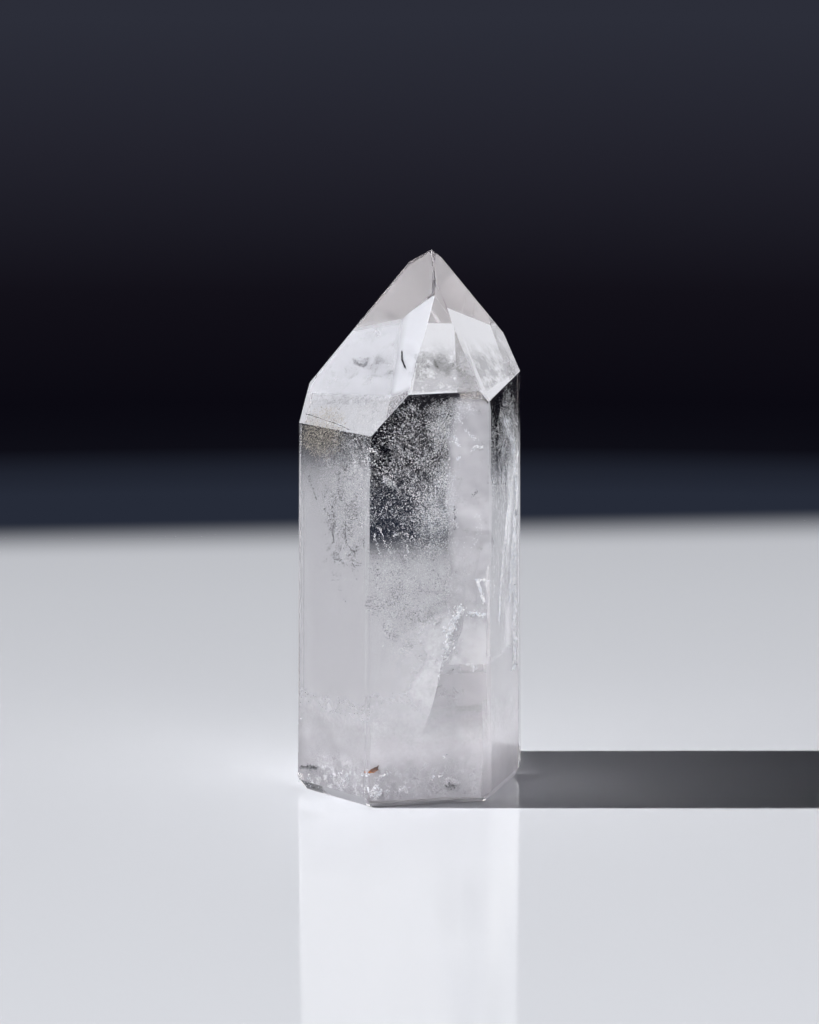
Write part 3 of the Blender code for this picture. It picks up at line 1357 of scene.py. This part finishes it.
gather(
    "strip_sparkles",
    (
        flake_line(
            [(6.3, -13.4, 54.4), (6.5, -13.39, 53.56), (6.9, -13.3, 52.9)],
            count=60, stray=0.16, length=(0.1, 0.4), width=(0.06, 0.24), seed=130, along=0.3,
        ),
        flake_line(
            [(6.6, -13.35, 50.9), (7.1, -13.2, 51.4)],
            count=34, stray=0.12, length=(0.1, 0.35), width=(0.05, 0.2), seed=131, along=0.5,
        ),
        flake_line(
            [(8.9, -12.95, 52.4), (9.54, -12.8, 52.8), (10.3, -12.65, 52.6)],
            count=60, stray=0.14, length=(0.1, 0.4), width=(0.06, 0.24), seed=132, along=0.5,
        ),
        flake_line(
            [(7.9, -13.1, 55.3), (8.8, -12.95, 54.2), (9.9, -12.75, 53.7)],
            count=60, stray=0.16, length=(0.1, 0.35), width=(0.05, 0.2), seed=133, along=0.3,
        ),
        flake_line(
            [(7.3, -13.2, 56.2), (6.9, -13.3, 57.2)],
            count=30, stray=0.16, length=(0.1, 0.3), width=(0.05, 0.18), seed=134, along=0.3,
        ),
        flake_line(
            [(9.5, -13.0, 44.0), (9.9, -12.9, 40.0), (8.6, -13.1, 37.5)],
            count=40, stray=0.3, length=(0.1, 0.3), width=(0.04, 0.14), seed=135, along=0.2,
        ),
    ),
    bright,
)


# The streaks on the right
# Behind the narrow right face the growth lines run upright: long thin tubes and one bright bent
# crack that nearly reaches the edge.

gather(
    "right_streaks",
    (
        grow(
            bright, seed=60, count=3200, centre=(11.9, -3.6, 40.0), reach=(0.9, 6.0, 25.0),
            finest=(0.025, 0.025, 0.2), coarsest=(0.07, 0.07, 1.1), patch=1.4, bareness=0.34,
            turn=(0, 0, -18.5), lie=(0, 0, 0), stray=(7, 7, 20), cover=0.5,
        ),
        flake_line(
            [
                (15.6, 1.2, 49.4), (14.7, -1.7, 46.1), (14.0, -3.7, 41.9), (13.6, -5.2, 37.7),
                (12.9, -7.3, 32.1), (12.6, -8.3, 26.3),
            ],
            count=620, stray=0.16, length=(0.6, 2.0), width=(0.2, 0.6), seed=6, along=0.93,
        ),
        flake_line(
            [
                (15.1, -0.2, 47.4), (15.3, 0.2, 42.8), (15.0, -0.8, 38.4), (14.7, -1.8, 34.1),
                (14.4, -2.9, 28.2),
            ],
            count=460, stray=0.24, length=(0.5, 1.8), width=(0.2, 0.65), seed=7, along=0.9,
        ),
        flake_line(
            [
                (14.8, -0.2, 38.5), (15.0, 0.1, 33.7), (14.7, -0.6, 30.5), (15.1, 0.1, 27.6),
                (14.8, -0.6, 24.0), (15.1, 0.0, 20.5), (14.9, -0.8, 17.5),
            ],
            count=520, stray=0.28, length=(0.4, 1.5), width=(0.3, 0.9), seed=8, along=0.3,
        ),
        flake_line(
            [(13.4, -5.0, 55.5), (14.7, -1.2, 52.0), (15.1, -0.2, 47.4)],
            count=300, stray=0.45, length=(0.5, 1.8), width=(0.08, 0.26), seed=105, along=0.93,
        ),
        flake_line(
            [(11.3, -11.1, 57.9), (11.8, -9.9, 51.8), (11.5, -10.9, 46.1)],
            count=190, stray=0.32, length=(0.06, 0.3), width=(0.05, 0.18), seed=106, along=0.2,
        ),
        flake_line(
            [(11.7, -10.7, 38.7), (11.7, -10.7, 29.8)],
            count=90, stray=0.2, length=(0.1, 0.5), width=(0.06, 0.2), seed=107, along=0.5,
        ),
    ),
    bright,
)
add_veil(
    "right_veil",
    veil_sheet(
        left=[(11.6, -5.2, 11.0), (12.1, -3.8, 30.0), (12.6, -2.4, 58.0)],
        right=[(14.7, 3.2, 11.0), (14.7, 3.2, 30.0), (14.6, 3.0, 60.0)],
        steps=(20, 60), ripple=0.2, seed=7,
    ),
    healed_veil(
        "streaky veil in quartz", "#f4f5f8", cover=0.9, patch=1.2, fades=(0.3, 0.0, 0.4, 0.3),
        bare=0.15, full=0.5,
    ),
)


# Marks in the point
# A black needle, a dark bent wisp and strings of pepper lie under the facets of the point, with a
# fine crack just over the left shoulder.

marks = inclusion("dark needles in quartz", "#26272c", "#0b0b0d", patch=0.3, roughness=0.35)
gather(
    "point_marks",
    (
        flake_line(
            [(3.52, -11.5, 64.9), (3.66, -11.77, 64.5), (3.95, -12.1, 63.93)],
            count=80, stray=0.03, length=(0.3, 0.5), width=(0.28, 0.42), seed=10, along=0.95,
        ),
        flake_line(
            [(-1.16, -8.98, 65.95), (-1.15, -10.06, 64.9), (-0.6, -11.6, 63.9)],
            count=70, stray=0.04, length=(0.3, 0.9), width=(0.1, 0.3), seed=11, along=0.9,
        ),
        flake_line(
            [(-8.5, -3.1, 64.4), (-7.75, -4.5, 63.7), (-6.85, -5.7, 63.4)],
            count=80, stray=0.16, length=(0.1, 0.36), width=(0.05, 0.16), seed=12, along=0.1,
        ),
        flake_line(
            [(1.63, -11.0, 65.8), (2.93, -11.1, 65.4), (4.37, -11.2, 64.95)],
            count=70, stray=0.22, length=(0.08, 0.26), width=(0.05, 0.14), seed=13, along=0.1,
        ),
        flake_line(
            [(5.2, -11.0, 64.9), (6.4, -11.4, 64.1), (7.4, -11.8, 63.3)],
            count=90, stray=0.24, length=(0.1, 0.4), width=(0.05, 0.16), seed=14, along=0.3,
        ),
        flake_line(
            [(7.4, -11.8, 63.3), (8.8, -12.2, 62.4)],
            count=40, stray=0.2, length=(0.1, 0.36), width=(0.05, 0.15), seed=15, along=0.3,
        ),
        flake_line(
            [
                (-15.2, -5.0, 56.3), (-14.3, -6.2, 56.3), (-12.3, -8.5, 55.9),
                (-10.4, -10.7, 55.6), (-8.6, -12.9, 55.1),
            ],
            count=80, stray=0.03, length=(0.4, 1.2), width=(0.03, 0.09), seed=16, along=0.97,
        ),
    ),
    marks,
)
gather(
    "point_pepper",
    (
        grow(
            pepper, seed=70, count=24000, centre=(3.0, -11.6, 64.3), reach=(7.5, 3.4, 0.9),
            finest=0.03, coarsest=0.085, turn=(54.1, 0, 10), patch=2.0, bareness=0.47,
        ),
        grow(
            pepper, seed=71, count=30000, centre=(-5.4, -6.7, 63.4), reach=(9.0, 4.0, 0.8),
            finest=0.03, coarsest=0.09, turn=(52.9, 0, -44), patch=2.0, bareness=0.48,
        ),
        grow(
            pepper, seed=72, count=9000, centre=(-9.5, -6.6, 58.6), reach=(6.0, 3.4, 0.9),
            finest=0.03, coarsest=0.075, turn=(52.9, 0, -44), patch=2.0, bareness=0.48,
        ),
    ),
    pepper,
)
gather(
    "shoulder_sparkles",
    (
        flake_line(
            [(-12.0, -8.6, 55.6), (-10.2, -10.1, 55.3), (-9.4, -10.9, 55.1)],
            count=50, stray=0.18, length=(0.15, 0.5), width=(0.08, 0.25), seed=17, along=0.6,
        ),
    ),
    bright,
)


# The chipped foot
# Small cracks from grinding the base run in from the lower edges: white where they are open, dark
# where grit has settled in them.

CHIP_PLACES = (
    (-11.2, -9.9, 2.9),
    (-8.8, -12.3, 3.4),
    (-9.7, -11.4, 3.9),
    (-8.4, -12.7, 4.3),
    (-6.6, -14.5, 4.5),
    (-4.6, -14.6, 4.2),
    (-3.6, -14.4, 4.6),
    (-5.4, -15.0, 1.9),
    (-4.6, -14.9, 1.8),
    (-3.8, -14.7, 1.8),
    (-6.5, -15.2, 2.4),
    (-14.8, -6.6, 1.9),
    (-14.3, -6.8, 1.2),
    (-14.2, -6.7, 0.5),
    (-13.2, -7.7, 0.6),
    (-16.2, -6.1, 1.4),
    (-15.2, -7.0, 1.1),
    (-14.4, -7.6, 0.9),
    (-13.4, -8.5, 0.7),
    (4.7, -13.2, 6.8),
    (4.4, -13.2, 4.0),
    (3.0, -13.4, 3.5),
)
chips = [
    flake_line(
        [(x, y, z), (x + 0.3, y, z + 0.4)],
        count=9, stray=0.2, length=(0.15, 0.6), width=(0.08, 0.35), seed=80 + i, along=0.3,
    )
    for i, (x, y, z) in enumerate(CHIP_PLACES)
]
gather(
    "foot_chips",
    (
        *chips,
        grow(
            bright, seed=120, count=3600, centre=(-9.7, -12.2, 2.8), reach=(2.6, 0.9, 1.7),
            finest=0.03, coarsest=0.09, turn=(0, 0, -45.3), patch=0.8, bareness=0.44,
        ),
        grow(
            bright, seed=121, count=3200, centre=(-5.2, -14.9, 2.0), reach=(1.5, 0.8, 1.8),
            finest=0.03, coarsest=0.10, patch=0.7, bareness=0.42,
        ),
        grow(
            bright, seed=122, count=1500, centre=(-1.0, -14.2, 2.3), reach=(1.6, 0.8, 0.9),
            finest=0.03, coarsest=0.08, patch=0.7, bareness=0.44,
        ),
        grow(
            bright, seed=123, count=2600, centre=(5.6, -13.0, 3.1), reach=(3.0, 0.8, 1.3),
            finest=0.03, coarsest=0.08, turn=(0, 0, 11), patch=0.8, bareness=0.45,
        ),
    ),
    bright,
)
add_veil(
    "bevel_frost_left",
    veil_sheet(
        left=[(-12.9, -8.6, 0.15), (-13.45, -9.1, 1.6)],
        right=[(-6.3, -15.2, 0.15), (-6.7, -15.8, 1.6)],
        steps=(40, 8), ripple=0.05, seed=23,
    ),
    healed_veil(
        "ground bevel grain", "#a9a9ae", cover=0.9, patch=1.0, fades=(0.1, 0.0, 0.0, 0.1),
        bare=0.1, full=0.45,
    ),
)
add_veil(
    "bevel_frost_front",
    veil_sheet(
        left=[(-5.6, -15.7, 0.06), (-5.8, -16.05, 0.6)],
        right=[(10.6, -12.55, 0.06), (10.85, -12.85, 0.6)],
        steps=(40, 4), ripple=0.02, seed=25,
    ),
    healed_veil(
        "ground bevel grain, front", "#a3a3a8", cover=0.92, patch=1.0, fades=(0.0, 0.0, 0.0, 0.0),
        bare=0.0, full=0.3,
    ),
)
add_veil(
    "bevel_frost_corner",
    veil_sheet(
        left=[(-15.3, -6.1, 0.15), (-16.2, -6.3, 1.6)],
        right=[(-12.5, -9.0, 0.15), (-13.0, -9.5, 1.6)],
        steps=(30, 8), ripple=0.05, seed=24,
    ),
    healed_veil(
        "dark ground bevel grain", "#5f6064", cover=0.92, patch=0.6, fades=(0.0, 0.15, 0.0, 0.1),
        bare=0.0, full=0.4,
    ),
)
add_veil(
    "foot_haze_front",
    veil_sheet(
        left=[(-5.7, -14.7, 0.7), (-5.7, -14.7, 4.0), (-5.7, -14.7, 8.5)],
        right=[(10.8, -11.6, 0.7), (10.8, -11.6, 4.0), (10.8, -11.6, 8.5)],
        steps=(60, 30), ripple=0.2, seed=21,
    ),
    healed_veil(
        "frosted foot of the crystal", "#cbcbd0", cover=0.6, patch=1.1,
        fades=(0.03, 0.03, 0.05, 0.7), bare=0.42, full=0.70,
    ),
)
add_veil(
    "foot_haze_left",
    veil_sheet(
        left=[(-15.1, -5.5, 0.9), (-15.6, -5.2, 4.0), (-15.7, -5.2, 8.5)],
        right=[(-6.3, -14.2, 0.9), (-6.3, -14.6, 4.0), (-6.3, -14.6, 8.5)],
        steps=(50, 30), ripple=0.2, seed=22,
    ),
    healed_veil(
        "frosted foot of the crystal, left", "#ececf0", cover=0.8, patch=1.3,
        fades=(0.3, 0.0, 0.05, 0.6), bare=0.36, full=0.66,
    ),
)
grit = inclusion("grit in base cracks", "#85858a", "#3a3a3f", patch=0.5, roughness=0.7)
gather(
    "foot_grit",
    (
        flake_line(
            [(-16.2, -5.9, 3.4), (-14.9, -7.3, 3.75), (-13.5, -8.7, 4.0)],
            count=260, stray=0.14, length=(0.1, 0.45), width=(0.08, 0.3), seed=90, along=0.5,
        ),
        flake_line(
            [(-16.2, -6.2, 1.5), (-14.5, -7.5, 0.9), (-12.2, -9.5, 0.5)],
            count=160, stray=0.10, length=(0.1, 0.5), width=(0.06, 0.25), seed=91, along=0.7,
        ),
        flake_line(
            [(5.5, -13.3, 2.7), (6.2, -13.2, 2.3)],
            count=60, stray=0.28, length=(0.1, 0.5), width=(0.1, 0.35), seed=92, along=0.3,
        ),
    ),
    grit,
)
scratch = flake_line(
    [(-15.9, -6.2, 10.9), (-16.1, -5.9, 10.8)],
    count=8, stray=0.08, length=(0.2, 0.5), width=(0.08, 0.2), seed=93, along=0.8,
)
gather("edge_scratch", (scratch,), bright)


# The iron fleck
# A thin flake of iron oxide, leaf-shaped with a short tail, that was caught just under the front
# face near the foot. It is brown, with painted light: an orange glow along its thin lower edge,
# where the light comes through.

FLECK_OUTLINE = (  # to the right and up, in millimetres
    (-6.29, 5.10),
    (-5.87, 5.53),
    (-5.31, 5.84),
    (-4.95, 5.92),
    (-4.77, 6.12),
    (-4.80, 5.67),
    (-4.72, 5.35),
    (-5.07, 5.26),
    (-5.37, 4.97),
    (-5.73, 5.00),
    (-6.15, 4.97),
)
FLECK_DEPTH = -14.85
FLECK_THICK = 0.10
FLECK_WAVE = 0.12  # how far it bends in and out of its plane
FLECK_WAVES = 5.0  # and how fast, in radians for each millimetre across
# The orange below this height is painted light.
FLECK_PAINTED_GLOW = (5.0 * MM, 5.7 * MM)  # it is orange under the first height, brown over the second
FLECK_CRUST = 0.35 * MM


def iron_oxide():
    """Limonite and hematite in a thin flake: dull brown, with a painted orange glow along the
    lower edge: painted light where the light comes through."""
    material, tree, output = new_material("iron oxide flake")
    place = add_node(tree, "ShaderNodeTexCoord")
    split = add_node(tree, "ShaderNodeSeparateXYZ", Vector=place.outputs["Object"])
    mottle = add_node(
        tree,
        "ShaderNodeTexNoise",
        Vector=place.outputs["Object"],
        Scale=1 / FLECK_CRUST,
        Detail=4.0,
        Roughness=0.7,
    )
    # Painted light: orange towards the lower edge, brown above.
    height = add_node(
        tree,
        "ShaderNodeMapRange",
        i0=split.outputs["Z"],
        i1=FLECK_PAINTED_GLOW[0],
        i2=FLECK_PAINTED_GLOW[1],
        i3=0.30,
        i4=-0.15,
    )
    tone = add_node(
        tree,
        "ShaderNodeMath",
        {"operation": "ADD"},
        i0=mottle.outputs[0],
        i1=height.outputs[0],
    )
    colour = add_node(tree, "ShaderNodeValToRGB", Fac=tone.outputs[0])
    stops = colour.color_ramp.elements
    stops[0].position = 0.30
    stops[0].color = linear("#2a1204")
    stops[1].position = 0.95
    stops[1].color = linear("#dc8420")
    stops.new(0.66).color = linear("#6e390c")
    body = add_node(
        tree,
        "ShaderNodeBsdfPrincipled",
        Base_Color=colour.outputs[0],
        Roughness=0.45,
    )
    bump = add_node(
        tree, "ShaderNodeBump", Strength=0.4, Distance=0.03 * MM, Height=mottle.outputs[0]
    )
    tree.links.new(bump.outputs[0], body.inputs["Normal"])
    tree.links.new(body.outputs[0], output.inputs["Surface"])
    return material


fleck = bmesh.new()
fleck_rim = []
for x, z in FLECK_OUTLINE:
    wave = FLECK_WAVE * math.sin(x * FLECK_WAVES)
    fleck_rim.append(fleck.verts.new((x * MM, (FLECK_DEPTH + wave) * MM, z * MM)))
fleck_face = fleck.faces.new(fleck_rim)
bmesh.ops.poke(fleck, faces=[fleck_face])
bmesh.ops.solidify(fleck, geom=fleck.faces[:], thickness=FLECK_THICK * MM)
bmesh.ops.recalc_face_normals(fleck, faces=fleck.faces[:])
fleck_mesh = bpy.data.meshes.new("iron_fleck")
fleck.to_mesh(fleck_mesh)
fleck.free()
iron_fleck = add_piece("iron_fleck", fleck_mesh, iron_oxide())
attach(iron_fleck, "root")


# The picture
# Light may bounce often enough to cross the stone and the sheets inside it, and the colours are
# shown as they are, with no film look.

scene = bpy.context.scene
scene.cycles.max_bounces = 24
scene.cycles.transmission_bounces = 24
scene.cycles.transparent_max_bounces = 24
scene.cycles.diffuse_bounces = 6
scene.cycles.glossy_bounces = 8
scene.cycles.use_denoising = True
scene.view_settings.view_transform = "Standard"
